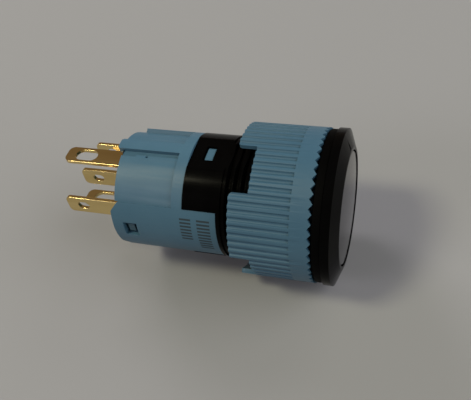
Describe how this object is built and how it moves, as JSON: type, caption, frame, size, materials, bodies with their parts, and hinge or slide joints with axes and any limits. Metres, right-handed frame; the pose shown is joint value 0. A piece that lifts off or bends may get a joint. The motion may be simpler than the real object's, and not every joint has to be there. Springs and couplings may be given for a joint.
{
  "type": "illuminated push button",
  "caption": "Round illuminated push button for a panel hole, with a ribbed locking nut and a plug-on contact block with flat solder terminals.",
  "frame": {"origin": "on the button's axis at the panel seat, which is the rear face of the gasket under the bezel", "axes": "-Y out of the lens, +Y along the axis to the terminals, +Z to the top, where the barrel has its flat and latch window, +X to the side of the normally closed terminal"},
  "size_m": [0.0205, 0.0394, 0.0204],
  "materials": {
    "bezel_black": "fine satin moulding, black",
    "gasket_rubber": "matt black rubber",
    "nut_blue": "satin moulding, grey-blue",
    "lens_grey": "dark grey translucent lens, satin face",
    "plate_white": "smooth white plate",
    "diffuser_clear": "frosted clear plate",
    "holder_black": "black moulding",
    "plunger_white": "natural white moulding",
    "spring_steel": "drawn spring wire",
    "lamp_glass": "clear dome",
    "lamp_white": "white moulding",
    "socket_dark": "dark grey moulding",
    "block_blue": "satin moulding, grey-blue",
    "base_blue": "satin moulding, darker grey-blue",
    "blade_gold": "pale gold plating",
    "contact_copper": "spring copper strip",
    "point_silver": "silver contact rivet"
  },
  "bodies": {
    "housing": {"bezel_barrel": "bezel_black", "panel_gasket": "gasket_rubber", "return_spring": "spring_steel", "lamp_dome": "lamp_glass", "lamp_base": "lamp_white", "lamp_socket": "socket_dark", "contact_block_case": "block_blue", "terminal_base": "base_blue", "common_terminal": "blade_gold", "normally_open_terminal": "blade_gold", "normally_closed_terminal": "blade_gold", "upper_lamp_terminal": "blade_gold", "lower_lamp_terminal": "blade_gold", "normally_open_point": "point_silver", "normally_closed_point": "point_silver"},
    "button": {"lens": "lens_grey", "marking_plate": "plate_white", "diffuser": "diffuser_clear", "button_holder": "holder_black", "button_seal": "gasket_rubber", "contact_plunger": "plunger_white"},
    "nut": {"locking_nut": "nut_blue"},
    "contact_arm": {"moving_contact": "contact_copper", "moving_contact_points": "point_silver"}
  },
  "joints": [
    {"name": "button_press", "type": "slide", "parent": "housing", "child": "button", "axis": [0, 1, 0], "range_m": [0, 0.002], "stiffness_N_per_m": 800, "springref_m": -0.002, "deforming": ["return_spring"]},
    {"name": "nut_turn", "type": "hinge", "parent": "housing", "child": "nut", "pos_m": [0, 0.005, 0], "axis": [0, 1, 0], "continuous": true},
    {"name": "contact_swing", "type": "hinge", "parent": "housing", "child": "contact_arm", "pos_m": [0, 0.0232, 0.001], "axis": [0, 0, -1], "range_deg": [0, 17.58]}
  ],
  "couplings": [
    {"joint": "contact_swing", "follows": "button_press", "rad_per_m": 153.38}
  ]
}
